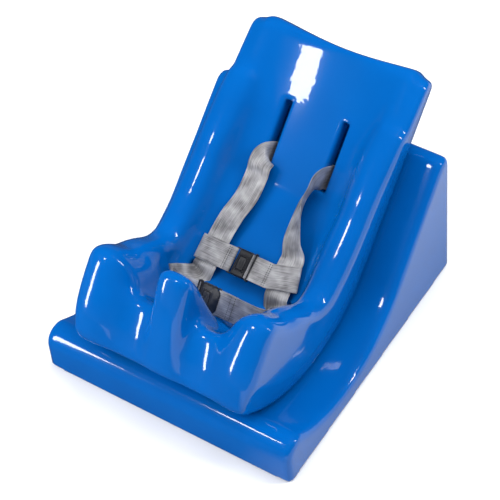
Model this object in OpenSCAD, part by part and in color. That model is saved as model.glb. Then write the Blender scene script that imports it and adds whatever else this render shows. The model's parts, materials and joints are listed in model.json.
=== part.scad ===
// Child floor seat: a coated-foam bucket seat that reclines in a concave coated-foam wedge,
// with a webbing harness and two centre-release buckles.
// X is across the seat, Y points to the rear, Z is up. The origin is on the floor under the
// middle of the wedge.

/* [Wedge] */
// Width of the wedge at its front
wedge_w = 430; // [420:5:460]
// How much the wedge narrows on each side by its rear
wedge_taper = 18; // [0:1:20]
// Front-to-back length of the wedge
wedge_d = 476; // [466:2:490]
// Height of the wedge at its rear ridge
wedge_h = 233; // [225:1:245]
// Height of the front lip
lip_h = 72; // [68:1:76]
// Radius of the concave trough that the seat rocks in
trough_r = 225; // [220:1:230]
// Distance from the wedge's front face to the trough's centre line
trough_setback = 160; // [155:1:165]
// Foam left under the lowest point of the trough
trough_floor = 34; // [30:1:40]

/* [Seat] */
// Outside width of the seat
seat_w = 306; // [296:2:316]
// Width of each side wing and arm
wing_w = 46; // [40:1:50]
// Thickness of the back between the wings
back_t = 32; // [28:1:36]
// Length of the straight part of the back
back_len = 295; // [285:5:305]
// Width of the leg divider
pommel_w = 56; // [50:1:64]
// Gap between the seat and the wedge that the hook-and-loop strips fill
seat_gap = 4; // [4:0.5:5]
// Thickness of the gloss coating on the foam
skin_t = 3; // [2.5:0.5:4]

/* [Harness] */
// Width of the webbing
web_w = 38; // [36:1:40]
// Thickness of the webbing
web_t = 1.6; // [1.4:0.1:1.8]
// Distance between the centres of the two back slots
slot_spacing = 100; // [96:1:104]
// Width of each back slot
slot_w = 11; // [10:0.5:13]
// Length of each back slot
slot_len = 107; // [100:1:110]

/* [Hidden] */

$fn = 96;
skin_blue = "DodgerBlue";
foam_cream = "Ivory";
web_grey = "Silver";
buckle_black = "DimGray";
hook_black = "SlateGray";

ramp_angle = 45;
ramp_dir = [cos(ramp_angle), sin(ramp_angle)];
ramp_normal = [-sin(ramp_angle), cos(ramp_angle)];
seat_r = trough_r - seat_gap;
centre_y = trough_setback - wedge_d / 2;
centre_z = trough_floor + trough_r;
centre = [centre_y, centre_z];

// A point of the side view given from the trough's centre: y to the rear, z up
function side(y, z) = [centre_y + y, centre_z + z];
// A point of the side view given along the back: s up the rear face, h out of it
function back(s, h) = centre + seat_r * [sin(ramp_angle), -cos(ramp_angle)]
                      + s * ramp_dir + h * ramp_normal;
// The same two, as points in space at a sideways position x
function side3(x, y, z) = [x, side(y, z)[0], side(y, z)[1]];
function back3(x, s, h) = [x, back(s, h)[0], back(s, h)[1]];

// Smooth curve through points (Catmull-Rom), n steps between neighbours
function blend4(a, b, c, d, t) =
    0.5 * (2 * b + (c - a) * t + (2 * a - 5 * b + 4 * c - d) * t * t
           + (3 * b - a - 3 * c + d) * t * t * t);
function smooth(p, n = 6) = concat(
    [for (i = [0 : len(p) - 2], k = [0 : n - 1])
        blend4(p[max(i - 1, 0)], p[i], p[i + 1], p[min(i + 2, len(p) - 1)], k / n)],
    [p[len(p) - 1]]);
function unit(v) = v / norm(v);
// Points along the rounded underside, from the front edge back to the ramp
front_angle = -47.5;
function underside(n = 20) = [for (i = [0 : n])
    let (a = front_angle + (ramp_angle - front_angle) * i / n)
    centre + seat_r * [sin(a), -cos(a)]];

// Extrude a side view across the seat, centred on x
module across(width, x = 0) {
    translate([x, 0, 0]) rotate([90, 0, 90]) linear_extrude(width, center = true) children();
}

// ---------- wedge ----------

// Side view of the wedge, drawn in by an inset on every side
module wedge_side(inset = 0) {
    r = trough_r + inset;
    front = -wedge_d / 2 + inset;
    rear = wedge_d / 2 - inset;
    top = wedge_h - inset;
    foot = centre + r * [sin(ramp_angle), -cos(ramp_angle)];
    ridge_y = foot[0] + (top - foot[1]) / tan(ramp_angle);
    difference() {
        polygon([[front, inset], [rear, inset], [rear, top], [ridge_y, top], foot,
                 [centre_y, lip_h - inset], [front, lip_h - inset]]);
        translate(centre) circle(r);
        translate([front, lip_h - inset]) corner_cut(26, [1, -1]);
        translate([rear, top]) corner_cut(12, [-1, -1]);
    }
}

// What a rounded corner takes away; dir points from the corner into the shape
module corner_cut(r, dir) {
    difference() {
        translate([dir[0] > 0 ? 0 : -r, dir[1] > 0 ? 0 : -r]) square(r);
        translate([dir[0] * r, dir[1] * r]) circle(r);
    }
}

// Outline of the wedge seen from above, a little narrower at the rear
module wedge_plan(inset = 0) {
    front = wedge_w / 2 - inset;
    rear = front - wedge_taper;
    polygon([[-front, -wedge_d / 2], [front, -wedge_d / 2], [rear, wedge_d / 2], [-rear, wedge_d / 2]]);
}

module wedge_solid(inset = 0) {
    intersection() {
        across(wedge_w) wedge_side(inset);
        linear_extrude(wedge_h) wedge_plan(inset);
    }
}

module wedge_core() {
    color(foam_cream) wedge_solid(skin_t);
}

module wedge_skin() {
    color(skin_blue) difference() {
        wedge_solid();
        wedge_solid(skin_t);
    }
}

// ---------- hook and loop ----------

strip_w = 50;
strip_x = 80;
strip_t = 1.7;

// A curved strip bent round the trough's centre line, from one angle to another
module curved_strip(x, r, a0, a1) {
    translate([x - strip_w / 2, centre_y, centre_z])
        rotate([0, 90, 0]) rotate([0, 0, a0]) rotate_extrude(angle = a1 - a0, $fn = 180)
            translate([r, 0]) square([strip_t, strip_w]);
}

module wedge_hook_strip(x) {
    color(hook_black) curved_strip(x, trough_r - strip_t, -30, 40);
}

module seat_loop_strip(x) {
    color(hook_black) curved_strip(x, seat_r, -40, 40);
}

// ---------- seat ----------

// Rim of the side wings, from the top of the head down and round to the front of the arm
wing_rim = concat(
    [back(back_len, 0), back(back_len, 30)],
    smooth([back(back_len - 9, 41), back(226, 50), back(214, 54), back(202, 63), back(117, 80),
            back(58, 84), back(0, 93), side(36, -109), side(-35, -62), side(-78, -24),
            side(-104, -31), side(-146, -98), side(-161, -135)]));
// Inner surface from the top of the back down into the pan and over the front of the legs
bowl_line = concat(
    [back(back_len, 0), back(back_len, back_t)],
    smooth([back(70, back_t), side(60, -156), side(10, -167), side(-40, -152), side(-75, -112),
            side(-97, -84), side(-112, -82), side(-140, -112)]));
// Front ridge of the leg divider, from the pan over the top and down the front
pommel_line = smooth([side(-34, -156), side(-54, -90), side(-76, -20), side(-95, 2),
                      side(-112, -15), side(-140, -70), side(-158, -122)]);

module wing_side() { polygon(concat(wing_rim, underside())); }
module bowl_side() { polygon(concat(bowl_line, underside())); }
module pommel_side() { polygon(concat(pommel_line, underside())); }

// Recess behind the back where the rear tie strap lies
recess_depth = 9;
recess_w = slot_spacing + slot_w + 16;
slot_low = 88;
hip_slot_x = 84;
hip_slot_w = 7;
hip_slot_from = 15;
hip_slot_to = 86;
hip_slot_run = 44;

// Everything that is cut out of the seat, grown by an allowance on every side
module seat_cuts(grow = 0) {
    for (side_x = [-1, 1]) {
        along_back(side_x * slot_spacing / 2, slot_low + slot_len / 2, back_t / 2)
            cube([slot_w + 2 * grow, slot_len + 2 * grow, back_t * 2], center = true);
        below_lap(side_x * hip_slot_x, (hip_slot_from + hip_slot_to) / 2)
            cube([hip_slot_w + 2 * grow, hip_slot_run + 2 * grow,
                  hip_slot_to - hip_slot_from + 2 * grow], center = true);
    }
    along_back(0, slot_low + slot_len / 2, 0)
        cube([recess_w + 2 * grow, slot_len + 16 + 2 * grow, 2 * (recess_depth + grow)],
             center = true);
}

// Place children on the back: x across, s up the back, h out of it
module along_back(x, s, h) {
    translate(back3(x, s, h)) rotate([ramp_angle, 0, 0]) children();
}

// The whole seat with every outside face drawn in by an inset
module seat_solid(inset = 0) {
    wing_x = (seat_w - wing_w) / 2;
    difference() {
        union() {
            for (side_x = [-1, 1])
                across(wing_w - 2 * inset, side_x * wing_x) offset(delta = -inset) wing_side();
            across(seat_w - wing_w) offset(delta = -inset) bowl_side();
            across(pommel_w - 2 * inset) offset(delta = -inset) pommel_side();
        }
        seat_cuts(inset);
    }
}

module seat_core() {
    color(foam_cream) seat_solid(skin_t);
}

module seat_skin() {
    color(skin_blue) difference() {
        seat_solid();
        seat_solid(skin_t);
    }
}

// Bar in the bottom of each hip slot that the lap strap's sewn end loops round
module hip_anchor(x) {
    color(buckle_black) below_lap(x, hip_slot_to - 6) rotate([90, 0, 0])
        cylinder(d = 3, h = hip_slot_run - 0.4, center = true);
}

// ---------- webbing ----------

// Solid webbing through key places, each [centre, direction across the webbing]
module webbing(keys, steps = 6, width = web_w, thick = web_t) {
    mid = smooth([for (k = keys) k[0]], steps);
    wide = smooth([for (k = keys) k[1]], steps);
    last = len(mid) - 1;
    points = [for (i = [0 : last])
        let (along = unit(mid[min(i + 1, last)] - mid[max(i - 1, 0)]),
             flat = unit(cross(along, wide[i])),
             w = unit(cross(flat, along)) * width / 2,
             t = flat * thick / 2)
        each [mid[i] + w + t, mid[i] - w + t, mid[i] - w - t, mid[i] + w - t]];
    sides = [for (i = [0 : last - 1], k = [0 : 3])
        let (a = 4 * i + k, b = 4 * i + (k + 1) % 4)
        each [[a, b + 4, b], [a, a + 4, b + 4]]];
    polyhedron(points, concat(sides, [[0, 1, 2, 3], [for (k = [3 : -1 : 0]) 4 * last + k]]),
               convexity = 10);
}

// How far along the back the webbing sits in its slot
strap_s = slot_low + 2 + web_w / 2 + 2;
chest_centre = side(66, -137);
chest_tilt = 32;
chest_run = [0, cos(chest_tilt), sin(chest_tilt)];
shoulder_x = 62;
// A point above the middle of the chest strap's loop, up along the shoulder strap
function up_chest(x, up) = [x, chest_centre[0], chest_centre[1]] + up * chest_run;

module shoulder_strap() {
    slot_x = slot_spacing / 2;
    up_back = [0, ramp_dir[0], ramp_dir[1]];
    level = [1, 0, 0];
    color(web_grey) webbing([
        [back3(slot_x, strap_s, 2.5), up_back],
        [back3(slot_x, strap_s, 18), up_back],
        [back3(slot_x, strap_s, back_t + 4), up_back + 0.1 * level],
        [back3(slot_x + 1, strap_s - 12, back_t + 13), up_back + level],
        [back3(slot_x + 5, strap_s - 44, back_t + 19), level],
        [up_chest(shoulder_x - 2, 46), level],
        [up_chest(shoulder_x - 1, 23), level],
        [up_chest(shoulder_x, 0), level],
        [up_chest(shoulder_x + 1, -23), level]]);
}

module rear_tie_strap() {
    color(web_grey) along_back(0, strap_s, 3)
        cube([slot_spacing + 2, web_w - 2, web_t], center = true);
}

// Place children on the chest strap: x across, y up the strap's width, z out of it
module on_chest(x = 0, z = 0) {
    translate([x, chest_centre[0], chest_centre[1]]) rotate([chest_tilt, 0, 0])
        translate([0, 0, z]) children();
}

loop_gap = 4.6;
loop_half = web_w / 2 + 1;
buckle_w = 42;
socket_len = 24;
body_t = 9;
bar_gap = 2.6;
bar_reach = 6;
// From a buckle's centre to the bar that its webbing loops round
bar_offset = socket_len / 2 + bar_reach;

// A loop of webbing seen from its edge: two layers joined by round ends
module sewn_loop(x0, x1, gap) {
    rotate([90, 0, 0]) linear_extrude(web_w, center = true) difference() {
        stadium(x0, x1, gap / 2 + web_t);
        stadium(x0, x1, gap / 2);
    }
}

// Slot shape from x0 to x1 with round ends of radius r, its ends at x0 and x1
module stadium(x0, x1, r) {
    translate([x0, -r]) square([x1 - x0, 2 * r]);
    translate([x0, 0]) circle(r);
    translate([x1, 0]) circle(r);
}

// Flat webbing from x0 to x1 that passes over a tongue's plate
module top_layer(x0, x1) {
    translate([x0, -web_w / 2, loop_gap / 2]) cube([x1 - x0, web_w, web_t]);
}

inner_end = shoulder_x - loop_half;
outer_end = shoulder_x + loop_half;

// Left half: a loop round the shoulder strap and a loop round the socket's bar, sewn together
module chest_strap_left() {
    color(web_grey) on_chest() mirror([1, 0, 0]) union() {
        sewn_loop(inner_end, outer_end, loop_gap);
        sewn_loop(bar_offset - chest_socket_x, inner_end - 4, bar_gap);
        translate([inner_end - 4, 0, 0]) cube([3, web_w, bar_gap + 2 * web_t], center = true);
    }
}

// Right half: a loop round the shoulder strap, and one layer that runs in under the tongue's bar
module chest_strap_right() {
    color(web_grey) on_chest() union() {
        sewn_loop(inner_end, outer_end, loop_gap);
        top_layer(bar_offset + chest_socket_x - 2, inner_end);
    }
}

// ---------- centre-release buckles ----------
// Each buckle lies along X with its centre at the origin: the tongue leaves towards +X.

mouth_w = 30;
mouth_t = 4.4;
button_l = 12;
button_w = 22;
bar_d = 2;

module buckle_socket() {
    frame_x = -socket_len / 2;
    color(buckle_black) difference() {
        union() {
            socket_shell();
            for (end_y = [-1, 1])
                translate([frame_x - bar_reach / 2, end_y * (web_w / 2 + 1.6), 0])
                    cube([bar_reach + 2, 2, bar_d], center = true);
            cross_bar(-bar_offset, 0);
        }
        translate([3, 0, 0]) cube([socket_len + 2, mouth_w, mouth_t], center = true);
        translate([0, 0, body_t / 2]) cube([button_l, button_w, body_t], center = true);
    }
}

// Round bar across the webbing
module cross_bar(x, z) {
    translate([x, 0, z]) rotate([90, 0, 0]) cylinder(d = bar_d, h = web_w + 5.2, center = true);
}

// Outside of the socket: a block with rounded corners and rounded ends
module socket_shell() {
    corner = 4;
    intersection() {
        linear_extrude(body_t, center = true) union() {
            square([socket_len - 2 * corner, buckle_w], center = true);
            square([socket_len, buckle_w - 2 * corner], center = true);
            for (sx = [-1, 1], sy = [-1, 1])
                translate([sx * (socket_len / 2 - corner), sy * (buckle_w / 2 - corner)])
                    circle(corner);
        }
        rotate([90, 0, 0]) linear_extrude(buckle_w, center = true)
            stadium(-socket_len / 2 + 3.2, socket_len / 2 - 3.2, body_t / 2);
    }
}

button_travel = 1.5;

module buckle_button() {
    lift = mouth_t / 2 + button_travel + 0.2;
    color(buckle_black) translate([0, 0, lift]) linear_extrude(body_t / 2 - lift + 0.8)
        square([button_l - 0.6, button_w - 0.6], center = true);
}

// Flat tongue: a plate that locks in the socket, and a keeper bar over the webbing on it
module buckle_tongue() {
    tongue_t = 3;
    tip = -4;
    shoulder = socket_len / 2 + 0.5;
    keeper_z = loop_gap / 2 + web_t + bar_d / 2 + 0.4;
    color(buckle_black) union() {
        translate([tip, -mouth_w / 2 + 0.6, -tongue_t / 2])
            cube([shoulder - tip, mouth_w - 1.2, tongue_t]);
        translate([shoulder, -buckle_w / 2 - 1, -tongue_t / 2])
            cube([bar_reach, buckle_w + 2, tongue_t]);
        for (end_y = [-1, 1])
            translate([bar_offset - 2, end_y * (buckle_w / 2), -tongue_t / 2])
                translate([0, -1, 0]) cube([2.5, 2, keeper_z + tongue_t / 2 + bar_d / 2]);
        translate([bar_offset - 0.75, 0, keeper_z]) rotate([90, 0, 0])
            cylinder(d = bar_d, h = buckle_w, center = true);
    }
}

chest_socket_x = -8;

module chest_socket() { on_chest(chest_socket_x) buckle_socket(); }
module chest_button() { on_chest(chest_socket_x) buckle_button(); }
module chest_tongue() { on_chest(chest_socket_x) buckle_tongue(); }

// The lap belt: its socket's strap runs to the right hip, its tongue's strap to the left hip
lap_centre = side(-19, -130);
lap_tilt = 50;
lap_socket_x = -12;

module on_lap() {
    translate([lap_socket_x, lap_centre[0], lap_centre[1]]) rotate([lap_tilt, 0, 0])
        rotate([0, 0, 180]) children();
}

module lap_socket() { on_lap() buckle_socket(); }
module lap_button() { on_lap() buckle_button(); }
module lap_tongue() { on_lap() buckle_tongue(); }

// Place children on the lap strap's way down into a hip slot, t from the belt line
module below_lap(x, t) {
    translate(lap_way(x, t)) rotate([lap_tilt, 0, 0]) children();
}

// A point on that way
function lap_way(x, t) = [x, lap_centre[0] + t * sin(lap_tilt), lap_centre[1] - t * cos(lap_tilt)];

// Webbing from the belt line at x0, lifted off it, round and down into a hip slot
module hip_run(x0, lift) {
    wide = [0, cos(lap_tilt), sin(lap_tilt)];
    webbing([[lap_way(x0, -lift), wide],
             [lap_way(hip_slot_x - 22, -lift), wide],
             [lap_way(hip_slot_x - 6, 4 - lift / 2), wide],
             [lap_way(hip_slot_x, 22), wide],
             [lap_way(hip_slot_x, hip_slot_to - 12), wide]]);
}

layer_lift = loop_gap / 2 + web_t / 2;

// Right half: a loop round the socket's bar, then down into the right hip slot
module lap_strap_right() {
    loop_to = 36;
    color(web_grey) union() {
        translate([0, lap_centre[0], lap_centre[1]]) rotate([lap_tilt, 0, 0])
            sewn_loop(bar_offset + lap_socket_x, loop_to, bar_gap);
        hip_run(loop_to + 1, bar_gap / 2 + web_t / 2);
    }
}

// Left half: in under the tongue's keeper bar, and down into the left hip slot
module lap_strap_left() {
    color(web_grey) mirror([1, 0, 0]) hip_run(bar_offset - lap_socket_x - 2, layer_lift);
}

// ---------- drawing ----------

wedge_core();
wedge_skin();
wedge_hook_strip(-strip_x);  // wedge_hook_strip_left
wedge_hook_strip(strip_x);  // wedge_hook_strip_right
seat_core();
seat_skin();
seat_loop_strip(-strip_x);  // seat_loop_strip_left
seat_loop_strip(strip_x);  // seat_loop_strip_right
hip_anchor(-hip_slot_x);  // hip_anchor_left
hip_anchor(hip_slot_x);  // hip_anchor_right
mirror([1, 0, 0]) shoulder_strap();  // shoulder_strap_left
shoulder_strap();  // shoulder_strap_right
rear_tie_strap();
chest_strap_left();
chest_strap_right();
chest_socket();
chest_button();
chest_tongue();
lap_strap_left();
lap_strap_right();
lap_socket();
lap_button();
lap_tongue();
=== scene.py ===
"""Finished surfaces for a child's floor seat that reclines in a concave wedge.

Everything is in metres, in the frame's own axes: X across the seat, Y to the rear, Z up.
"""
import json
import math

import bmesh
import bpy
import numpy as np
from mathutils import Matrix, Vector


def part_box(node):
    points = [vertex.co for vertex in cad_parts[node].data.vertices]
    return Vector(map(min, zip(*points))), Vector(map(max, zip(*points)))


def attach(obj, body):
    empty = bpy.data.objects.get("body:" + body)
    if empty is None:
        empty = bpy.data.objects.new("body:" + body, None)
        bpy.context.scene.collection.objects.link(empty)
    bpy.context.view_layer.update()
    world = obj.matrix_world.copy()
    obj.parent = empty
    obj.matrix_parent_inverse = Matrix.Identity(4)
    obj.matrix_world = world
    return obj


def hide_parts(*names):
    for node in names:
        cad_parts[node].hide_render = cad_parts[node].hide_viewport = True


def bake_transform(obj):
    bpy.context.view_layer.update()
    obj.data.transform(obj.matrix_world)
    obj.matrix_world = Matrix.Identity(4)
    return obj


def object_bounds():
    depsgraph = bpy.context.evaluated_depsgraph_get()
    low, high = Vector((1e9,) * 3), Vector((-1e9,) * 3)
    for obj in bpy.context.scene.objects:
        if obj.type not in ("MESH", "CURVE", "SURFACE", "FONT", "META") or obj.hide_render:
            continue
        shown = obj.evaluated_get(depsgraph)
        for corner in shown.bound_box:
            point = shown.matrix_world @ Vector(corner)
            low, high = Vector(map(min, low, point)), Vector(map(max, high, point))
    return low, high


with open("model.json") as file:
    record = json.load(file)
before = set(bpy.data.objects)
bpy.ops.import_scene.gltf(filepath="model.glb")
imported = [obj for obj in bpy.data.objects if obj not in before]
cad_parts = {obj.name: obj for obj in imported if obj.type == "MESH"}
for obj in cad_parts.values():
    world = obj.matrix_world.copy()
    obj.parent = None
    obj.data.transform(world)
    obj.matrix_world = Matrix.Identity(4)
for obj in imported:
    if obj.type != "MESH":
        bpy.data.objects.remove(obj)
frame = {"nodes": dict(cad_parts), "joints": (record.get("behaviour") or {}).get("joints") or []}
cad_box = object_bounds()

MM = 0.001

# ---------- places and directions, from the frame ----------

joints = {j["name"]: j for j in frame["joints"]}


def axis_of(joint):
    return Vector(joints[joint]["axis"]).normalized()


def middle(node):
    low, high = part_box(node)
    return (low + high) / 2


rock_axis = Vector(joints["seat_recline"]["pos_m"])
seat_low, seat_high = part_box("seat_skin")
wedge_low, wedge_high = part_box("wedge_skin")
seat_radius = rock_axis.z - seat_low.z
up_back = axis_of("harness_height")
out_of_back = Vector((0, -up_back.z, up_back.y))
up_chest = axis_of("chest_belt_height")
press_chest = axis_of("chest_button_press")
press_lap = axis_of("lap_button_press")
up_lap = Vector((0, -press_lap.z, press_lap.y))
across_seat = Vector((1, 0, 0))

# Sizes shared with the CAD that its boxes don't give
wing_width = 46 * MM
pommel_width = 56 * MM
back_thickness = 32 * MM
web_width = 38 * MM
web_thickness = 1.6 * MM
tie_overhang = 1 * MM
slot_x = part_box("rear_tie_strap")[1].x - tie_overhang
slot_width = 11 * MM
slot_from = 88 * MM
strap_from = slot_from + 4 * MM
slot_length = 107 * MM
hip_slot_x = middle("hip_anchor_right").x
hip_slot_width = 8 * MM
hip_slot_length = 45 * MM
hip_slot_depth = 71 * MM


def on_back(x, s, h):
    """A point on the back: x across, s up it from the seat's rounded foot, h out of its rear face."""
    return rock_axis + across_seat * x + up_back * s + out_of_back * (h - seat_radius)


# ---------- foam shapes as distance fields ----------

weld_distance = 1e-6
shortest_edge_squared = 1e-14
bell_reach = 2.5


def side_outline(node, x):
    """The outside outline of a CAD node in the plane at x, as (y, z) points in order."""
    bm = bmesh.new()
    bm.from_mesh(frame["nodes"][node].data)
    bmesh.ops.remove_doubles(bm, verts=bm.verts, dist=weld_distance)
    parts = bm.verts[:] + bm.edges[:] + bm.faces[:]
    cut = bmesh.ops.bisect_plane(bm, geom=parts, plane_co=(x, 0, 0), plane_no=(1, 0, 0))["geom_cut"]
    links = {}
    for edge in (e for e in cut if isinstance(e, bmesh.types.BMEdge)):
        for vert in edge.verts:
            links.setdefault(vert, []).append(edge.other_vert(vert))
    loops = []
    while links:
        start = next(iter(links))
        loop = [start]
        while True:
            options = [v for v in links.pop(loop[-1]) if v in links]
            if not options:
                break
            loop.append(options[0])
        loops.append(np.array([(v.co.y, v.co.z) for v in loop]))
    bm.free()
    return max(loops, key=lambda p: np.ptp(p[:, 0]))


def unit(v):
    return v / np.linalg.norm(v)


def outline_distance(outline, y, z):
    """Distance from each (y, z) to a closed outline, negative inside it."""
    nearest = np.full(y.shape, np.inf)
    inside = np.zeros(y.shape, bool)
    for (ay, az), (by, bz) in zip(outline, np.roll(outline, -1, axis=0)):
        ey, ez = by - ay, bz - az
        length = ey * ey + ez * ez
        if length < shortest_edge_squared:
            continue
        t = np.clip(((y - ay) * ey + (z - az) * ez) / length, 0, 1)
        nearest = np.minimum(nearest, np.hypot(y - ay - t * ey, z - az - t * ez))
        if az != bz:
            inside ^= ((az > z) != (bz > z)) & (y < ay + (z - az) * ey / ez)
    return np.where(inside, -nearest, nearest)


def rounded_slab(profile, x, half, radius):
    """A side view, or one for each x, carried across X to half on each side, its long edges rounded."""
    a = profile + radius
    b = np.abs(x)[:, None, None] - half + radius
    return np.minimum(np.maximum(a, b), 0) + np.hypot(np.maximum(a, 0), np.maximum(b, 0)) - radius


def box_distance(*sides):
    """Distance to a box from how far each point is beyond its middle planes' half sizes."""
    outside = sum(np.maximum(q, 0) ** 2 for q in sides) ** 0.5
    inside = sides[0]
    for q in sides[1:]:
        inside = np.maximum(inside, q)
    return outside + np.minimum(inside, 0)


def merge(a, b, fillet):
    """Union of two fields with a fillet where they meet."""
    h = np.clip(0.5 + 0.5 * (b - a) / fillet, 0, 1)
    return b + (a - b) * h - fillet * h * (1 - h)


def carve(a, b, fillet):
    """Field a with b taken away, the new edges rounded."""
    return -merge(-a, b, fillet)


def merge_max(a, b, fillet):
    """What two fields have in common, its edges rounded."""
    return -merge(-a, -b, fillet)


def soften(field, cells):
    """The field blurred by a bell curve that many cells wide, which rounds its edges a little."""
    reach = int(math.ceil(bell_reach * cells))
    offsets = np.arange(-reach, reach + 1)
    weights = np.exp(-0.5 * (offsets / cells) ** 2)
    weights /= weights.sum()
    for axis in range(3):
        pad = [(reach, reach) if a == axis else (0, 0) for a in range(3)]
        padded = np.pad(field, pad, mode="edge")
        size = field.shape[axis]
        field = sum(w * np.take(padded, np.arange(o + reach, o + reach + size), axis=axis)
                    for o, w in zip(offsets, weights))
    return field


def field_surface(field, low, cell):
    """Points and quads of the closed surface where the field is zero, one point to a crossed cell."""
    cells = np.array(field.shape) - 1
    total = np.zeros((*cells, 3), np.float32)
    count = np.zeros(cells, np.int16)
    crossings = []
    for axis in range(3):
        near = np.take(field, np.arange(cells[axis]), axis=axis)
        far = np.take(field, np.arange(1, cells[axis] + 1), axis=axis)
        crossed = (near < 0) != (far < 0)
        t = np.where(crossed, near / np.where(crossed, near - far, 1), 0)
        others = [a for a in range(3) if a != axis]
        for du in (0, 1):
            for dv in (0, 1):
                pick = [slice(None)] * 3
                pick[others[0]] = slice(du, du + cells[others[0]])
                pick[others[1]] = slice(dv, dv + cells[others[1]])
                c = crossed[tuple(pick)]
                count += c
                total[..., axis] += t[tuple(pick)]
                total[..., others[0]] += du * c
                total[..., others[1]] += dv * c
        crossings.append((crossed, near < 0, others))
    active = count > 0
    index = np.full(cells, -1)
    index[active] = np.arange(active.sum())
    points = (np.argwhere(active) + total[active] / count[active][:, None]) * cell + np.array(low)
    quads = []
    for axis, (crossed, starts_inside, others) in enumerate(crossings):
        inner = [slice(None)] * 3
        for o in others:
            inner[o] = slice(1, cells[o])
        at = np.argwhere(crossed[tuple(inner)])
        for o in others:
            at[:, o] += 1
        corners = []
        for du, dv in ((1, 1), (0, 1), (0, 0), (1, 0)):
            c = at.copy()
            c[:, others[0]] -= du
            c[:, others[1]] -= dv
            corners.append(index[tuple(c.T)])
        quad = np.stack(corners, 1)
        flip = starts_inside[tuple(at.T)] != (axis != 1)
        quad[flip] = quad[flip][:, ::-1]
        quads.append(quad)
    return points, np.vstack(quads)


def relax(points, quads, rounds):
    """Evens out the points by moving each towards its neighbours and back, which keeps the size."""
    pairs = np.vstack([quads[:, [i, (i + 1) % 4]] for i in range(4)])
    start, end = pairs[:, 0], pairs[:, 1]
    n = len(points)
    degree = np.bincount(start, minlength=n) + np.bincount(end, minlength=n)
    inward, outward = 0.5, -0.52
    for step in [inward, outward] * rounds:
        mean = np.zeros_like(points)
        for a in range(3):
            total = np.bincount(start, points[end, a], n) + np.bincount(end, points[start, a], n)
            mean[:, a] = total / degree
        points = points + step * (mean - points)
    return points


def mesh_object(name, points, faces, material):
    mesh = bpy.data.meshes.new(name)
    mesh.from_pydata([tuple(p) for p in points], [], [tuple(int(i) for i in f) for f in faces])
    mesh.polygons.foreach_set("use_smooth", [True] * len(mesh.polygons))
    mesh.update()
    obj = bpy.data.objects.new(name, mesh)
    bpy.context.scene.collection.objects.link(obj)
    obj.data.materials.append(material)
    return obj


def foam_object(name, field, low, cell, rounds, material):
    points, quads = field_surface(field, low, cell)
    return mesh_object(name, relax(points, quads, rounds), quads, material)


def grid_axes(low, high, cell, margin):
    return [np.arange(a - margin, b + margin + cell, cell) for a, b in zip(low, high)]


# ---------- materials ----------


def new_material(name):
    material = bpy.data.materials.new(name)
    material.use_nodes = True
    tree = material.node_tree
    return material, tree, tree.nodes["Principled BSDF"]


def add_node(tree, kind, links=(), **values):
    """A node with its inputs set from values and joined from links of (from socket, to input name)."""
    node = tree.nodes.new(kind)
    for key, value in values.items():
        if key in node.inputs:
            node.inputs[key].default_value = value
        else:
            setattr(node, key, value)
    for source, target in links:
        tree.links.new(source, node.inputs[target])
    return node


def colour_mix(tree, factor, dark, light):
    ramp = add_node(tree, "ShaderNodeMix", data_type="RGBA")
    tree.links.new(factor, ramp.inputs["Factor"])
    ramp.inputs["A"].default_value = (*dark, 1)
    ramp.inputs["B"].default_value = (*light, 1)
    return ramp.outputs["Result"]


def remap(tree, source, low, high, to_low=0.0, to_high=1.0):
    node = add_node(tree, "ShaderNodeMapRange", [(source, "Value")])
    for name, value in (("From Min", low), ("From Max", high), ("To Min", to_low), ("To Max", to_high)):
        node.inputs[name].default_value = value
    return node.outputs["Result"]


def object_place(tree):
    return add_node(tree, "ShaderNodeTexCoord").outputs["Object"]


def noise(tree, place, scale, detail=2.0):
    texture = add_node(tree, "ShaderNodeTexNoise", [(place, "Vector")], Scale=scale, Detail=detail)
    return texture.outputs["Fac"]


def add_bump(tree, target, height, strength, distance):
    """Bumps one of a shader's normals by a height texture."""
    bump = add_node(tree, "ShaderNodeBump", [(height, "Height")], Strength=strength, Distance=distance)
    tree.links.new(bump.outputs["Normal"], target)


def coating_material():
    """Thick vinyl coating: deep blue under a clear gloss, with a faint ripple left from spraying."""
    material, tree, shader = new_material("blue_coating")
    place = object_place(tree)
    cloud = noise(tree, place, 9.0, 3.0)
    speck = noise(tree, place, 900.0)
    ripple = noise(tree, place, 75.0, 1.0)
    tone = colour_mix(tree, remap(tree, cloud, 0.3, 0.7), (0.0, 0.090, 0.36), (0.0, 0.102, 0.40))
    tree.links.new(tone, shader.inputs["Base Color"])
    tree.links.new(remap(tree, speck, 0.3, 0.75, 0.10, 0.2), shader.inputs["Roughness"])
    add_bump(tree, shader.inputs["Coat Normal"], ripple, 0.05, 0.002)
    shader.inputs["Specular IOR Level"].default_value = 0.1
    shader.inputs["Coat Weight"].default_value = 0.8
    shader.inputs["Coat Roughness"].default_value = 0.03
    shader.inputs["Coat IOR"].default_value = 1.5
    return material


weave_pitch = 1.1 * MM


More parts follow.
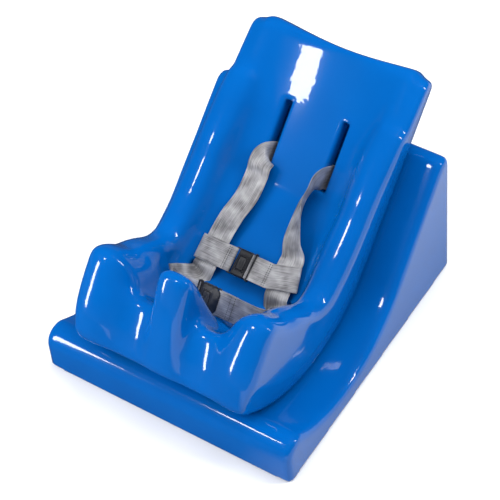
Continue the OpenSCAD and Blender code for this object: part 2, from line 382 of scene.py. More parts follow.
def webbing_material():
    """Silvery satin webbing: a fine cross weave, and a base colour with painted sheen in long light streaks
    and painted crease shade in broader dark patches.
    """
    material, tree, shader = new_material("webbing")
    uv = add_node(tree, "ShaderNodeTexCoord").outputs["UV"]
    split = add_node(tree, "ShaderNodeSeparateXYZ", [(uv, "Vector")])
    cross_weave = add_node(tree, "ShaderNodeMath", [(split.outputs["Y"], 0)], operation="MULTIPLY")
    cross_weave.inputs[1].default_value = 2 * math.pi / weave_pitch
    waves = add_node(tree, "ShaderNodeMath", [(cross_weave.outputs[0], 0)], operation="SINE")
    stretched = add_node(tree, "ShaderNodeMapping", [(uv, "Vector")])
    stretched.inputs["Scale"].default_value = (900, 26, 1)
    # The streak and crease noises paint light and shade into the base colour. The light streaks stand in for
    # highlights along the webbing, and the dark patches for shade in its creases.
    sheen_streak = noise(tree, stretched.outputs["Vector"], 1.0, 4.0)
    painted_crease_shade = noise(tree, uv, 34.0)
    painted_sheen_and_shade = add_node(tree, "ShaderNodeMix", [(sheen_streak, "A"), (painted_crease_shade, "B")], Factor=0.62)
    painted_light_factor = remap(tree, painted_sheen_and_shade.outputs["Result"], 0.38, 0.62)
    # The base colour runs from dark painted shade to light painted sheen.
    tone = colour_mix(tree, painted_light_factor, (0.13, 0.128, 0.136), (0.50, 0.495, 0.51))
    tree.links.new(tone, shader.inputs["Base Color"])
    add_bump(tree, shader.inputs["Normal"], waves.outputs[0], 0.3, 0.00012)
    tree.links.new(remap(tree, sheen_streak, 0.3, 0.7, 0.5, 0.36), shader.inputs["Roughness"])
    shader.inputs["Metallic"].default_value = 0.35
    return material


def thread_material():
    """Dark sewing thread with uneven shade."""
    material, tree, shader = new_material("thread")
    tone = colour_mix(tree, noise(tree, object_place(tree), 1500.0), (0.03, 0.03, 0.032), (0.09, 0.088, 0.09))
    tree.links.new(tone, shader.inputs["Base Color"])
    shader.inputs["Roughness"].default_value = 0.7
    return material


def buckle_material():
    """Moulded black plastic with a fine grain and paler, polished wear."""
    material, tree, shader = new_material("buckle_plastic")
    place = object_place(tree)
    grain = noise(tree, place, 2600.0, 3.0)
    smear = noise(tree, place, 70.0, 5.0)
    tone = colour_mix(tree, remap(tree, smear, 0.35, 0.7), (0.010, 0.011, 0.014), (0.026, 0.027, 0.032))
    tree.links.new(tone, shader.inputs["Base Color"])
    tree.links.new(remap(tree, smear, 0.3, 0.7, 0.28, 0.45), shader.inputs["Roughness"])
    add_bump(tree, shader.inputs["Normal"], grain, 0.12, 0.0002)
    return material


def pile_material():
    """Hook-and-loop tape: matt black with a fuzzy pile."""
    material, tree, shader = new_material("hook_and_loop")
    fuzz = add_node(tree, "ShaderNodeTexVoronoi", [(object_place(tree), "Vector")], Scale=900.0)
    tone = colour_mix(tree, fuzz.outputs["Distance"], (0.012, 0.012, 0.014), (0.05, 0.05, 0.055))
    tree.links.new(tone, shader.inputs["Base Color"])
    add_bump(tree, shader.inputs["Normal"], fuzz.outputs["Distance"], 0.8, 0.0006)
    shader.inputs["Roughness"].default_value = 0.95
    shader.inputs["Sheen Weight"].default_value = 0.4
    return material


def steel_material():
    """Bare steel, unevenly polished."""
    material, tree, shader = new_material("anchor_steel")
    drawn = noise(tree, object_place(tree), 1200.0)
    tone = colour_mix(tree, drawn, (0.42, 0.43, 0.45), (0.62, 0.63, 0.65))
    tree.links.new(tone, shader.inputs["Base Color"])
    tree.links.new(remap(tree, drawn, 0.2, 0.8, 0.25, 0.5), shader.inputs["Roughness"])
    shader.inputs["Metallic"].default_value = 1.0
    return material


coating = coating_material()
webbing = webbing_material()
thread = thread_material()
plastic = buckle_material()
pile = pile_material()
steel = steel_material()

# ---------- wedge ----------

foam_cell = 3 * MM
grid_margin = 4 * foam_cell
edge_blur = 1.3  # cells
relax_rounds = 4
near_middle = 1 * MM
wedge_round = 7 * MM
foot_edge_round = 3 * MM
below_floor = 60 * MM


def rear_half_width():
    """Half the wedge's width at its rear, where it is narrower than at its front."""
    ends = [v.co.x for v in frame["nodes"]["wedge_skin"].data.vertices if v.co.y > wedge_high.y - 1 * MM]
    return max(ends)


def wedge_shell():
    """The wedge: its side view across its width, with rounded coated edges and a flat foot."""
    x, y, z = grid_axes(wedge_low, wedge_high, foam_cell, grid_margin)
    gy, gz = np.meshgrid(y, z, indexing="ij")
    outline = side_outline("wedge_skin", near_middle)
    on_floor = outline[:, 1] < 1 * MM
    deeper = outline - np.outer(on_floor, (0, below_floor))
    back_share = (gy - wedge_low.y) / (wedge_high.y - wedge_low.y)
    half = wedge_high.x + (rear_half_width() - wedge_high.x) * back_share
    top = rounded_slab(outline_distance(deeper, gy, gz), x, half, wedge_round)
    field = soften(top, edge_blur)
    field = carve(field, np.broadcast_to(gz, field.shape), foot_edge_round)
    return foam_object("wedge_coating", field, (x[0], y[0], z[0]), foam_cell, relax_rounds, coating)


# ---------- seat ----------

wing_round = 19 * MM
head_round = 11 * MM
arm_round = 24 * MM
arm_fillet = 40 * MM
pommel_round = 19 * MM
pommel_rear = 22 * MM
bucket_fillet = 46 * MM
head_fillet = 16 * MM
bowl_radius = 460 * MM
pommel_fillet = 22 * MM
foot_round = 18 * MM
end_round = 14 * MM
arm_width = 62 * MM
arm_drop = 18 * MM
arm_lower = 9 * MM
arm_ahead = 75 * MM  # middle of the arm in front of the rocking axis
arm_half_length = 62 * MM
arm_end_round = 30 * MM
arm_fade = 40 * MM
arm_foot = 110 * MM  # below the rocking axis
arm_foot_fade = 50 * MM
bowl_cut_x = 70 * MM  # where the bowl's side view is taken
bowl_edge = 4 * MM
head_from = 170 * MM  # up the back
head_fade = 60 * MM
dish_fade = 60 * MM
dish_start = 0.6
pommel_rear_round = 10 * MM
silhouette_gap = 2 * MM
side_slope = 0.19
side_draft = 9.5 * MM
side_gap = 2 * MM
side_round = 6 * MM
cut_round = 5 * MM
ramp_turn = math.atan2(up_back.z, up_back.y)


def foot_distance(y, z):
    """Distance outside the seat's underside: a round, then straight behind the back; y, z from the axis."""
    along = y * up_back.y + z * up_back.z
    return np.where(along > 0, -y * out_of_back.y - z * out_of_back.z, np.hypot(y, z)) - seat_radius


def open_below(outline):
    """The outline carried on below the underside, so that only its top and ends count."""
    y, z = outline[:, 0] - rock_axis.y, outline[:, 1] - rock_axis.z
    underside = foot_distance(y, z) > -0.5 * MM
    start = np.flatnonzero(underside & ~np.roll(underside, -1))[0]
    chain = np.roll(outline, -start, axis=0)
    end = np.flatnonzero(np.roll(underside, -start)[1:])[0] + 1
    chain = chain[: end + 1]
    reach = 70 * MM
    low_turn = 1.5 * seat_radius * np.array((math.sin(ramp_turn / 2), -math.cos(ramp_turn / 2)))
    return np.vstack([chain[0] + reach * unit(chain[0] - chain[1]), chain,
                      chain[-1] + reach * unit(chain[-1] - chain[-2]),
                      low_turn + (rock_axis.y, rock_axis.z)])


def seat_shell():
    """The bucket: wings, arms, back, pan and leg divider run together in big fillets, cut for the straps."""
    x, y, z = grid_axes(seat_low, seat_high, foam_cell, grid_margin)
    gy, gz = np.meshgrid(y, z, indexing="ij")
    from_axis_y, from_axis_z = gy - rock_axis.y, gz - rock_axis.z
    half_width = seat_high.x
    wing_x = half_width - wing_width / 2
    sides = [side_outline("seat_skin", at) for at in (bowl_cut_x, wing_x, near_middle)]
    in_arm = np.clip(-from_axis_y / arm_fade, 0, 1) * np.clip((from_axis_z + arm_foot) / arm_foot_fade, 0, 1)
    bowl_top, wing_top, pommel_top = [outline_distance(open_below(side), gy, gz + lower * in_arm)
                                      for side, lower in zip(sides, (0, arm_lower, 0))]
    up = from_axis_y * up_back.y + from_axis_z * up_back.z
    toward_head = np.clip((up - head_from) / head_fade, 0, 1)
    on_the_back = np.clip(up / dish_fade + dish_start, 0, 1)
    dish = (np.minimum(np.abs(x), wing_x) ** 2 / (2 * bowl_radius))[:, None, None] * on_the_back
    bowl = rounded_slab(bowl_top - dish, x, wing_x, bowl_edge)
    edge_round = wing_round + (head_round - wing_round) * toward_head
    wings = rounded_slab(wing_top, np.abs(x) - wing_x, wing_width / 2, edge_round)
    arm_x = half_width - arm_width / 2
    past_arm_end = np.abs(from_axis_y + arm_ahead) - arm_half_length
    arm_top = merge_max(wing_top + arm_drop, past_arm_end, arm_end_round)
    arms = rounded_slab(arm_top, np.abs(x) - arm_x, arm_width / 2, arm_round)
    pommel_top = merge_max(pommel_top, from_axis_y + pommel_rear, pommel_rear_round)
    pommel = rounded_slab(pommel_top, x, pommel_width / 2, pommel_round)
    fillet = bucket_fillet + (head_fillet - bucket_fillet) * toward_head
    field = merge(merge(bowl, wings, fillet), arms, arm_fillet)
    field = merge(field, pommel, pommel_fillet)
    wing_side, pommel_side = [outline_distance(side, gy, gz) for side in sides[1:]]
    silhouette = np.minimum(wing_side, pommel_side) - silhouette_gap
    field = carve(field, np.broadcast_to(end_round / 2 - silhouette, field.shape), end_round)
    field = soften(field, edge_blur)
    foot = foot_distance(from_axis_y, from_axis_z)
    drawn_in = half_width - side_draft + np.minimum(side_draft, side_slope * np.maximum(-foot, 0))
    field = carve(field, drawn_in - np.abs(x)[:, None, None] + side_gap, side_round)
    field = carve(field, np.broadcast_to(-foot, field.shape), foot_round)
    for cut in seat_cuts(x, gy, gz):
        field = carve(field, cut, cut_round)
    return foam_object("seat_coating", field, (x[0], y[0], z[0]), foam_cell, relax_rounds, coating)


recess_side = 14 * MM
recess_end = 8 * MM
recess_depth = 9 * MM
below_anchor = 6 * MM


def seat_cuts(x, gy, gz):
    """The back slots, the recess behind them for the tie strap, and the hip slots."""
    xs = np.abs(x)[:, None, None]
    y, z = gy - rock_axis.y, gz - rock_axis.z
    s = (y * up_back.y + z * up_back.z)[None]
    h = (y * out_of_back.y + z * out_of_back.z + seat_radius)[None]
    slot_mid = slot_from + slot_length / 2
    slot_end = np.abs(s - slot_mid) - slot_length / 2
    yield box_distance(np.abs(xs - slot_x) - slot_width / 2, slot_end)
    yield box_distance(xs - slot_x - recess_side, slot_end - recess_end, np.abs(h) - recess_depth)
    anchor = middle("hip_anchor_right")
    down = ((gy - anchor.y) * press_lap.y + (gz - anchor.z) * press_lap.z)[None]
    along = ((gy - anchor.y) * up_lap.y + (gz - anchor.z) * up_lap.z)[None]
    yield box_distance(np.abs(xs - hip_slot_x) - hip_slot_width / 2, np.abs(along) - hip_slot_length / 2,
                       np.abs(down + hip_slot_depth / 2 - below_anchor) - hip_slot_depth / 2)


# ---------- webbing ----------

rib_pitch = 2.7 * MM
rib_height = 0.22 * MM
points_per_rib = 5
edge_power = 16  # how square the webbing's edges are
thread_radius = 0.6 * MM
stitch_pitch = 3.2 * MM
stitch_margin = 3 * MM
stitch_share = 0.42  # half a stitch's length, as a part of the pitch


def smooth_path(points, steps):
    """Catmull-Rom curve through the points, with that many steps between neighbours."""
    p = np.array([tuple(v) for v in points], float)
    p = np.vstack([2 * p[0] - p[1], p, 2 * p[-1] - p[-2]])
    t = np.linspace(0, 1, steps, endpoint=False)[:, None]
    spans = []
    for a, b, c, d in zip(p, p[1:], p[2:], p[3:]):
        square, cube = 2 * a - 5 * b + 4 * c - d, 3 * b - a - 3 * c + d
        spans.append(0.5 * (2 * b + (c - a) * t + square * t ** 2 + cube * t ** 3))
    return np.vstack(spans + [p[-2:-1]])


def normalise(v):
    return v / np.linalg.norm(v, axis=1, keepdims=True)


def ribbon(name, stations, steps, width=web_width):
    """Ribbed webbing through stations of (centre, direction across, how far it bows across its width)."""
    mid = smooth_path([s[0] for s in stations], steps)
    wide = smooth_path([s[1] for s in stations], steps)
    bow = smooth_path([(s[2], 0, 0) for s in stations], steps)[:, 0]
    along = normalise(np.gradient(mid, axis=0))
    flat = normalise(np.cross(along, wide))
    wide = normalise(np.cross(flat, along))
    ribs = int(width / rib_pitch)
    u = np.linspace(-1, 1, ribs * points_per_rib + 1)
    edge = np.sqrt(1 - 0.9 * np.abs(u) ** edge_power)
    half = web_thickness / 2 * edge + rib_height * (np.cos(np.pi * ribs * u) - 1) / 2
    run = np.concatenate([[0], np.cumsum(np.linalg.norm(np.diff(mid, axis=0), axis=1))])
    ring_u = np.concatenate([u, u[::-1]])
    ring_h = np.concatenate([half, -half[::-1]])
    sheet = (mid[:, None, :]
             + wide[:, None, :] * (ring_u * width / 2)[None, :, None]
             + flat[:, None, :] * (ring_h[None, :] + bow[:, None] * (1 - ring_u[None, :] ** 2))[:, :, None])
    rows, ring = sheet.shape[:2]
    points = sheet.reshape(-1, 3)
    i, k = np.meshgrid(np.arange(rows - 1), np.arange(ring), indexing="ij")
    a, b = i * ring + k, i * ring + (k + 1) % ring
    faces = np.stack([a, b, b + ring, a + ring], -1).reshape(-1, 4)
    last = (rows - 1) * ring
    half_ring = ring // 2
    caps = [[base + k, base + k + 1, base + ring - 2 - k, base + ring - 1 - k][::turn]
            for base, turn in ((0, -1), (last, 1)) for k in range(half_ring - 1)]
    obj = mesh_object(name, points, list(faces) + caps, webbing)
    uv = obj.data.uv_layers.new(name="web")
    where = np.zeros(len(obj.data.loops), int)
    obj.data.loops.foreach_get("vertex_index", where)
    coords = np.stack([ring_u[where % ring] * width / 2, run[where // ring]], 1)
    uv.data.foreach_set("uv", coords.ravel())
    return obj


def stitch(obj, place, rows):
    """Adds lines of thread stitches across a strap, each row at (x, height) in the strap's own frame."""
    bm = bmesh.new()
    bm.from_mesh(obj.data)
    obj.data.materials.append(thread)
    count = int((web_width - 2 * stitch_margin) / stitch_pitch) + 1
    shape = Matrix.Diagonal((thread_radius, stitch_share * stitch_pitch, thread_radius, 1))
    for x, height in rows:
        for col in range(count):
            y = (col - (count - 1) / 2) * stitch_pitch
            matrix = place @ Matrix.Translation((x, y, height)) @ shape
            made = bmesh.ops.create_icosphere(bm, subdivisions=1, radius=1.0, matrix=matrix)
            for face in {f for v in made["verts"] for f in v.link_faces}:
                face.material_index = 1
                face.smooth = True
    bm.to_mesh(obj.data)
    bm.free()


def buckle_place(socket, button, press, slide):
    """Where a buckle is: X towards its tongue, Y across the webbing, Z out of its face."""
    x = axis_of(slide)
    z = -axis_of(press)
    y = z.cross(x)
    centre = middle(socket)
    centre.x = middle(button).x
    return Matrix.Translation(centre) @ Matrix((x, y, z)).transposed().to_4x4()


chest_place = buckle_place("chest_socket", "chest_button", "chest_button_press", "chest_tongue_release")
lap_place = buckle_place("lap_socket", "lap_button", "lap_button_press", "lap_tongue_release")
chest_centre = Vector((0, chest_place.translation.y, chest_place.translation.z))
lap_centre = Vector((0, lap_place.translation.y, lap_place.translation.z))
loop_gap = 4.6 * MM
bar_gap = 2.6 * MM
bar_offset = 18 * MM
shoulder_x = 62 * MM
loop_half = 20 * MM
loop_inner = shoulder_x - loop_half
loop_outer = shoulder_x + loop_half
loop_lean = 0.26
lean_fade = 8 * MM
seam_height = web_thickness * 0.56
loop_top = (loop_gap + web_thickness) / 2
bar_wrap = (bar_gap + web_thickness) / 2


def chest_point(x, up, out=0.0):
    return chest_centre + Vector((x, 0, 0)) + up_chest * up - press_chest * out


def lap_point(x, out=0.0, up=0.0):
    return lap_centre + Vector((x, 0, 0)) - press_lap * out + up_lap * up


def mirrored(stations, side):
    """The same stations for the right side (1) or the left side (-1)."""
    flip = Vector((side, 1, 1))
    return [(centre * flip, across * flip * side, bow) for centre, across, bow in stations]


def shoulder_strap(side, name):
    """Down from the back slot, through the chest loop and on to the hip slot, by the lap strap."""
    s = strap_from + web_width / 2
    top = back_thickness
    level, out = across_seat, out_of_back
    stations = [
        (on_back(slot_x, s, 2.5 * MM), up_back, 0),
        (on_back(slot_x, s, 18 * MM), up_back, 0),
        (on_back(slot_x, s - 1 * MM, top + 2 * MM), up_back + level * 0.1, 0),
    ]
    if side < 0:
        stations += [
            (on_back(slot_x, s - 7 * MM, top + 13 * MM), up_back + level * 0.9, 2 * MM),
            (on_back(slot_x, s - 20 * MM, top + 19 * MM), up_back * 0.35 + level, 3 * MM),
            (on_back(slot_x - 1 * MM, s - 38 * MM, top + 19 * MM), level, -1 * MM),
            (on_back(slot_x + 1 * MM, s - 70 * MM, top + 22 * MM), level, 1.5 * MM),
            (chest_point(shoulder_x - 6 * MM, 62 * MM, 2 * MM), level, 0),
        ]
    else:
        stations += [
            (on_back(slot_x - 3 * MM, s - 8 * MM, top + 17 * MM), up_back + out * 0.8, -2 * MM),
            (on_back(slot_x - 9 * MM, s - 24 * MM, top + 25 * MM), out + level * 0.25, -5 * MM),
            (on_back(slot_x - 14 * MM, s - 50 * MM, top + 27 * MM), out + level * 0.6, -6 * MM),
            (chest_point(shoulder_x - 13 * MM, 62 * MM, 7 * MM), level + out * 0.5, -2 * MM),
        ]
    stations += [
        (chest_point(shoulder_x - 2 * MM, 38 * MM), level, 0),
        (chest_point(shoulder_x - 1 * MM, 20 * MM), level, 0),
        (chest_point(shoulder_x, 0), level, 0),
        (chest_point(shoulder_x + 1 * MM, -24 * MM), level, 0),
        (chest_point(shoulder_x + 6 * MM, -42 * MM, -2 * MM), level * 0.8 + up_lap * 0.6, 1 * MM),
        (lap_point(hip_slot_x - 5 * MM, -4 * MM, 6 * MM), level * 0.3 + up_lap, 0),
        (lap_point(hip_slot_x - 2.2 * MM, -24 * MM, 2 * MM), up_lap, 0),
        (lap_point(hip_slot_x - 2.2 * MM, -44 * MM), up_lap, 0),
    ]
    strap = ribbon(name, mirrored(stations, side), 10)
    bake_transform(strap)
    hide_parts("shoulder_strap_left" if side < 0 else "shoulder_strap_right")


def chest_strap(name, node, side, path, rows):
    """Chest webbing along a path of (x outwards, height), sewn across in rows of (x, height)."""
    lean = loop_lean if side > 0 else 0.0
    stations = []
    for x, out in path:
        past = max(x - loop_inner, 0)
        across = up_chest - across_seat * lean * min(past / lean_fade, 1)
        stations.append((chest_point(x, past * lean, out), across, 0))
    strap = ribbon(name, mirrored(stations, side), 6)
    place = Matrix.Translation(chest_centre) @ chest_place.to_3x3().to_4x4()
    stitch(strap, place, [(x * side, height) for x, height in rows])
    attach(strap, "chest_belt")
    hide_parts(node)


def chest_straps():
    """Each half of the chest strap, from its end of the buckle round its shoulder strap and back."""
    top, seam, wrap = loop_top, seam_height, bar_wrap
    bar_x = bar_offset - chest_place.translation.x
    near, far = loop_inner + 4 * MM, loop_outer - 2 * MM
    round_strap = [(near, top), (shoulder_x, top + 0.5 * MM), (far, top), (loop_outer + top, 0),
                   (far, -top), (shoulder_x, -top), (near, -top)]
    round_bar = [(bar_x + 3 * MM, -wrap), (bar_x, -wrap), (bar_x - wrap, 0), (bar_x, wrap),
                 (bar_x + 4 * MM, wrap)]
    sewn = (loop_inner - 8 * MM, loop_inner - 4.5 * MM)
    left = [(loop_inner - 3 * MM, -seam)] + round_bar + [(x, seam) for x in sewn] + round_strap
    rows = [(x, seam + web_thickness / 2) for x in sewn]
    chest_strap("chest_webbing_left", "chest_strap_left", -1, left, rows)
    tongue_x = bar_offset + chest_place.translation.x
    right = [(tongue_x - 5.5 * MM, top + 3 * MM), (tongue_x - 3 * MM, top + 0.7 * MM), (tongue_x, top),
             (tongue_x + 12 * MM, top), (tongue_x + 20 * MM, top), (loop_inner - 7 * MM, top - 0.8 * MM),
             (loop_inner - 3 * MM, top - 0.8 * MM)] + round_strap
    rows = [(x, top) for x in (loop_inner - 7.5 * MM, loop_inner - 4 * MM)]
    chest_strap("chest_webbing_right", "chest_strap_right", 1, right, rows)


def lap_straps():
    """Each half of the lap belt, from its end of the buckle down into its hip slot."""
    top, seam, wrap = loop_top, seam_height, bar_wrap
    bar_x = bar_offset + lap_place.translation.x
    tongue_x = bar_offset - lap_place.translation.x
    to_hip = [(hip_slot_x - 23 * MM, 1.9 * MM), (hip_slot_x - 12 * MM, 0), (hip_slot_x - 3 * MM, -8 * MM),
              (hip_slot_x, -22 * MM), (hip_slot_x, -50 * MM), (hip_slot_x, -72 * MM)]
    right = [(36 * MM, -seam), (bar_x + 3 * MM, -wrap), (bar_x, -wrap), (bar_x - wrap, 0), (bar_x, wrap),
             (bar_x + 5 * MM, wrap), (30 * MM, seam + 0.8 * MM), (38 * MM, seam)]
    left = [(tongue_x - 3 * MM, top), (tongue_x + 1 * MM, top), (tongue_x + 23 * MM, top)]
    for name, node, side, path in (("lap_webbing_right", "lap_strap_right", 1, right),
                                   ("lap_webbing_left", "lap_strap_left", -1, left)):
        stations = [(lap_point(x, out), up_lap, 0) for x, out in path + to_hip]
        strap = ribbon(name, mirrored(stations, side), 8)
        if side > 0:
            turn = Matrix((across_seat, up_lap, -press_lap)).transposed().to_4x4()
            rows = [(x, seam + 1.4 * MM) for x in (26 * MM, 33 * MM)]
            stitch(strap, Matrix.Translation(lap_centre) @ turn, rows)
        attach(strap, "seat")
        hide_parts(node)


def rear_tie():
    """Webbing behind the back that joins the two shoulder straps."""
    s = strap_from + web_width / 2
    end = slot_x + tie_overhang
    stations = [(on_back(x, s, 3 * MM), up_back, 0) for x in (-end, -slot_x / 2, slot_x / 2, end)]
    tie = ribbon("rear_tie_webbing", stations, 12, width=web_width - 2 * MM)
    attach(tie, "shoulder_harness")
    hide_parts("rear_tie_strap")


# ---------- centre-release buckles ----------
# Each is shaped in its own frame: X towards the tongue, Y across the webbing, Z out of its face.

plastic_cell = 0.55 * MM
socket_length = 24 * MM
buckle_width = 42 * MM
buckle_thickness = 9 * MM
bar_radius = 1.1 * MM
mouth_width, mouth_height = 30 * MM, 4.4 * MM
button_size = (12 * MM, 20 * MM)


def block(grid, size, centre=(0, 0, 0), radius=1 * MM):
    """Distance from a box with rounded edges."""
    return box_distance(*[np.abs(g - c) - w / 2 + radius for g, w, c in zip(grid, size, centre)]) - radius


def cross_bar(grid, x, z):
    along = np.abs(grid[1]) - buckle_width / 2 + 1 * MM
    return np.maximum(np.hypot(grid[0] - x, grid[2] - z) - bar_radius, along)


def mirror_y(grid):
    return grid[0], np.abs(grid[1]), grid[2]


def socket_field(grid, hooded=False):
    """The socket: a rounded shell with a mouth, a framed button well, grooved sides and a webbing bar."""
    body = block(grid, (socket_length, buckle_width, buckle_thickness), radius=3.4 * MM)
    length, width = button_size
    rim = block(grid, (length + 4.5 * MM, width + 4.5 * MM, 1.6 * MM), (0, 0, buckle_thickness / 2))
    body = merge(body, rim, 0.8 * MM)
    sides = mirror_y(grid)
    for step in (-6, -2, 2, 6):
        groove = np.hypot(sides[0] - step * MM, sides[1] - buckle_width / 2) - 0.7 * MM
        body = carve(body, groove, 0.5 * MM)
    arm = block(sides, (7 * MM, 2.4 * MM, 3 * MM), (-bar_offset + 2.6 * MM, buckle_width / 2 - 1.2 * MM, 0))
    body = merge(merge(body, arm, 1 * MM), cross_bar(grid, -bar_offset, 0), 0.6 * MM)
    if hooded:
        oval = (np.hypot((grid[0] + socket_length / 2) / (11 * MM), grid[1] / (20 * MM)) - 1) * 10 * MM
        body = merge(body, np.maximum(oval, np.abs(grid[2] - 4 * MM) - 1 * MM), 0.8 * MM)
    mouth = block(grid, (socket_length, mouth_width, mouth_height), (4 * MM, 0, 0), 0.8 * MM)
    well = block(grid, (length + 0.8 * MM, width + 0.8 * MM, 7 * MM), (0, 0, 5.6 * MM), 0.8 * MM)
    return carve(carve(body, mouth, 0.6 * MM), well, 0.5 * MM)


def button_field(grid):
    """The release button: a slightly dished key with two grip ridges."""
    key = block(grid, (*button_size, 2.4 * MM), (0, 0, 4.4 * MM), 0.9 * MM)
    dish = np.sqrt(grid[0] ** 2 + grid[1] ** 2 + (grid[2] - 41 * MM) ** 2) - 36 * MM
    key = carve(key, dish, 0.6 * MM)
    for x in (-2.2 * MM, 2.2 * MM):
        key = merge(key, block(grid, (1 * MM, 9 * MM, 1.2 * MM), (x, 0, 5.1 * MM), 0.5 * MM), 0.5 * MM)
    return key


def tongue_field(grid):
    """The tongue: a plate with a catch hole, a shoulder, and a keeper bar over its webbing."""
    sides = mirror_y(grid)
    plate = block(grid, (16 * MM, mouth_width - 1.4 * MM, 3 * MM), (5 * MM, 0, 0), 0.9 * MM)
    plate = carve(plate, block(grid, (5 * MM, 12 * MM, 6 * MM), (1 * MM, 0, 0), 0.8 * MM), 0.5 * MM)
    shoulder_at = socket_length / 2 + 3.6 * MM
    shoulder = block(grid, (6.4 * MM, buckle_width + 1 * MM, 3.2 * MM), (shoulder_at, 0, 0), 1.2 * MM)
    keeper_height = (loop_gap + bar_gap) / 2 + web_thickness
    post = block(sides, (3.2 * MM, 2.2 * MM, keeper_height + 3 * MM),
                 (bar_offset - 0.6 * MM, buckle_width / 2 - 0.2 * MM, keeper_height / 2), 0.8 * MM)
    keeper = cross_bar(grid, bar_offset - 0.75 * MM, keeper_height)
    return merge(merge(merge(plate, shoulder, 0.8 * MM), post, 0.8 * MM), keeper, 0.6 * MM)


def moulded(name, node, body, place, shape):
    """A moulded plastic piece, shaped in the buckle's frame and set in place."""
    reach = np.array((socket_length / 2 + 9 * MM, buckle_width / 2 + 3 * MM, 9 * MM))
    axes = [np.arange(-r, r, plastic_cell) for r in reach]
    field = shape(np.meshgrid(*axes, indexing="ij"))
    points, quads = field_surface(field, -reach, plastic_cell)
    piece = mesh_object(name, relax(points, quads, 2), quads, plastic)
    piece.data.transform(place)
    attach(piece, body)
    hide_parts(node)


def hooded_socket_field(grid):
    """A socket with a rounded hood over the bar for its webbing."""
    return socket_field(grid, hooded=True)


def buckle(belt, body, place, socket_shape):
    moulded(belt + "_buckle_socket", belt + "_socket", body, place, socket_shape)
    moulded(belt + "_buckle_button", belt + "_button", belt + "_release", place, button_field)
    moulded(belt + "_buckle_tongue", belt + "_tongue", belt + "_latch", place, tongue_field)


# ---------- hook and loop ----------

pile_pitch = 2.6 * MM
edge_level, hollow_level = 0.45, 0.55


def pile_strip(name, node, body, outward):
    """A curved strip of hook or loop pile, tufted on its working face and bound at its edges."""
    low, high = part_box(node)
    points = np.array([v.co[:] for v in frame["nodes"][node].data.vertices])
    radii = np.hypot(points[:, 1] - rock_axis.y, points[:, 2] - rock_axis.z)
    angles = np.arctan2(points[:, 1] - rock_axis.y, rock_axis.z - points[:, 2])
    base, tip = (radii.min(), radii.max()) if outward else (radii.max(), radii.min())
    across = np.linspace(low.x, high.x, 2 * int((high.x - low.x) / pile_pitch) + 1)
    arc = np.linspace(angles.min(), angles.max(), 2 * int(base * np.ptp(angles) / pile_pitch) + 1)
    i, j = np.meshgrid(np.arange(len(across)), np.arange(len(arc)), indexing="ij")
    edge = (i == 0) | (j == 0) | (i == len(across) - 1) | (j == len(arc) - 1)
    tuft = (i % 2 == 1) & (j % 2 == 1)
    level = np.where(edge, edge_level, np.where(tuft, 1.0, hollow_level))
    sheets = []
    for r in (np.full(i.shape, base), base + (tip - base) * level):
        sheet = np.stack([across[i], rock_axis.y + r * np.sin(arc[j]), rock_axis.z - r * np.cos(arc[j])], -1)
        sheets.append(sheet.reshape(-1, 3))
    index = np.arange(i.size).reshape(i.shape)
    top = np.stack([index[:-1, :-1], index[1:, :-1], index[1:, 1:], index[:-1, 1:]], -1).reshape(-1, 4)
    border = np.concatenate([index[:, 0], index[-1, 1:], index[-2::-1, -1], index[0, -2:0:-1]])
    wall = np.stack([border, np.roll(border, -1), np.roll(border, -1) + i.size, border + i.size], -1)
    faces = np.vstack([top[:, ::-1], top + i.size, wall])
    if outward:
        faces = faces[:, ::-1]
    strip = mesh_object(name, np.vstack(sheets), faces, pile)
    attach(strip, body)
    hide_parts(node)


wedge = wedge_shell()
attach(wedge, "wedge")
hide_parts("wedge_skin", "wedge_core")

seat = seat_shell()
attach(seat, "seat")
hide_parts("seat_skin", "seat_core")

shoulder_strap(-1, "shoulder_webbing_left")
shoulder_strap(1, "shoulder_webbing_right")
chest_straps()
lap_straps()
rear_tie()
buckle("chest", "chest_belt", chest_place, socket_field)
buckle("lap", "seat", lap_place, hooded_socket_field)
for side in ("left", "right"):
    pile_strip("hook_pile_" + side, "wedge_hook_strip_" + side, "wedge", outward=False)
    pile_strip("loop_pile_" + side, "seat_loop_strip_" + side, "seat", outward=True)
    bar = frame["nodes"]["hip_anchor_" + side]
    bar.data.materials.clear()
    bar.data.materials.append(steel)

# ---------- stage ----------


def plane(name, size, place):
    bm = bmesh.new()
    bmesh.ops.create_grid(bm, x_segments=1, y_segments=1, size=size, matrix=place)
    mesh = bpy.data.meshes.new(name)
    bm.to_mesh(mesh)
    bm.free()
    obj = bpy.data.objects.new(name, mesh)
    bpy.context.scene.collection.objects.link(obj)
    return obj


def soft_light(name, place, target, size, power, shiny):
    """Area light; only a shiny one is seen in reflections."""
    data = bpy.data.lights.new(name, "AREA")
    data.shape = "RECTANGLE"
    data.size, data.size_y = size
    data.energy = power
    light = bpy.data.objects.new(name, data)
    light.location = place
    light.visible_glossy = shiny
    light.rotation_euler = (Vector(target) - Vector(place)).to_track_quat("-Z", "Y").to_euler()
    bpy.context.scene.collection.objects.link(light)


def floor_material():
    """Plain pale floor; in reflections it is dark, and bright only on the object's right-hand side."""
    material, tree, shader = new_material("pale_floor")
    shader.inputs["Base Color"].default_value = (0.88, 0.88, 0.89, 1)
    shader.inputs["Roughness"].default_value = 0.85
    across = add_node(tree, "ShaderNodeSeparateXYZ", [(object_place(tree), "Vector")]).outputs["X"]
    bright = add_node(tree, "ShaderNodeEmission", [(remap(tree, across, 0.12, 0.3, 0.05, 1.0), "Strength")])
    glossy = add_node(tree, "ShaderNodeLightPath").outputs["Is Glossy Ray"]
    links = [(glossy, 0), (shader.outputs["BSDF"], 1), (bright.outputs["Emission"], 2)]
    mixed = add_node(tree, "ShaderNodeMixShader", links)
    tree.links.new(mixed.outputs["Shader"], tree.nodes["Material Output"].inputs["Surface"])
    return material


floor = plane("floor", 6, Matrix.Identity(4))
floor.data.materials.append(floor_material())

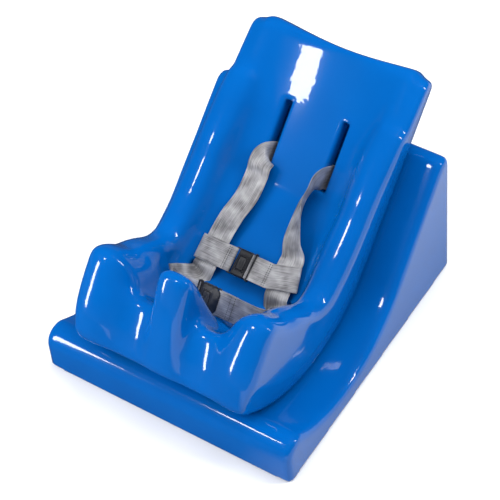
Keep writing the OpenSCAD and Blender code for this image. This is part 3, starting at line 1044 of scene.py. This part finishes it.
middle_of_object = (cad_box[0] + cad_box[1]) / 2
back_highlight = on_back(-40 * MM, 247 * MM, back_thickness)
for name, target, offset, size, power, shiny in (
    ("soft_box", back_highlight, (-0.42, -1.15, 1.03), (0.17, 0.17), 2.4, True),
    ("right_strip", middle_of_object, (1.5, 0.7, 1.3), (0.16, 1.1), 14, True),
    ("front_strip", middle_of_object, (-1.0, -1.5, 0.5), (0.2, 0.85), 12, True),
    ("front_fill", middle_of_object, (-0.9, -1.5, 1.6), (1.0, 1.0), 14, False),
    ("top_fill", middle_of_object, (0.5, 0.7, 2.4), (1.6, 1.6), 40, False),
):
    soft_light(name, target + Vector(offset), target, size, power, shiny)


def studio_world():
    """Light mostly from above; in reflections the ceiling is dark, so only the shiny lights show."""
    world = bpy.data.worlds.new("studio")
    bpy.context.scene.world = world
    world.use_nodes = True
    tree = world.node_tree
    background = tree.nodes["Background"]
    background.inputs["Color"].default_value = (0.96, 0.98, 1.0, 1)
    direction = add_node(tree, "ShaderNodeTexCoord").outputs["Generated"]
    upward = add_node(tree, "ShaderNodeSeparateXYZ", [(direction, 0)])
    lit = remap(tree, upward.outputs["Z"], 0.0, 0.8, 0.35, 1.0)
    reflected = remap(tree, upward.outputs["Z"], 0.0, 0.3, 0.15, 0.02)
    glossy = add_node(tree, "ShaderNodeLightPath").outputs["Is Glossy Ray"]
    strength = add_node(tree, "ShaderNodeMix", [(glossy, "Factor"), (lit, "A"), (reflected, "B")])
    tree.links.new(strength.outputs["Result"], background.inputs["Strength"])


studio_world()
bpy.context.scene.view_settings.view_transform = "Standard"

# Azimuth from the front towards +X, elevation and roll, in degrees
view_azimuth, view_elevation, view_roll = 38.28, 47.60, -6.07
view_distance = 2.916
view_lens = 144
view_target = Vector((0.0008, -0.0021, 0.148))


def add_camera():
    a, e = math.radians(view_azimuth), math.radians(view_elevation)
    back = Vector((math.sin(a) * math.cos(e), -math.cos(a) * math.cos(e), math.sin(e)))
    data = bpy.data.cameras.new("camera")
    data.lens = view_lens
    camera = bpy.data.objects.new("camera", data)
    facing = (-back).to_track_quat("-Z", "Y").to_matrix().to_4x4()
    roll = Matrix.Rotation(math.radians(view_roll), 4, "Z")
    camera.matrix_world = Matrix.Translation(view_target + back * view_distance) @ facing @ roll
    bpy.context.scene.collection.objects.link(camera)
    bpy.context.scene.camera = camera


add_camera()
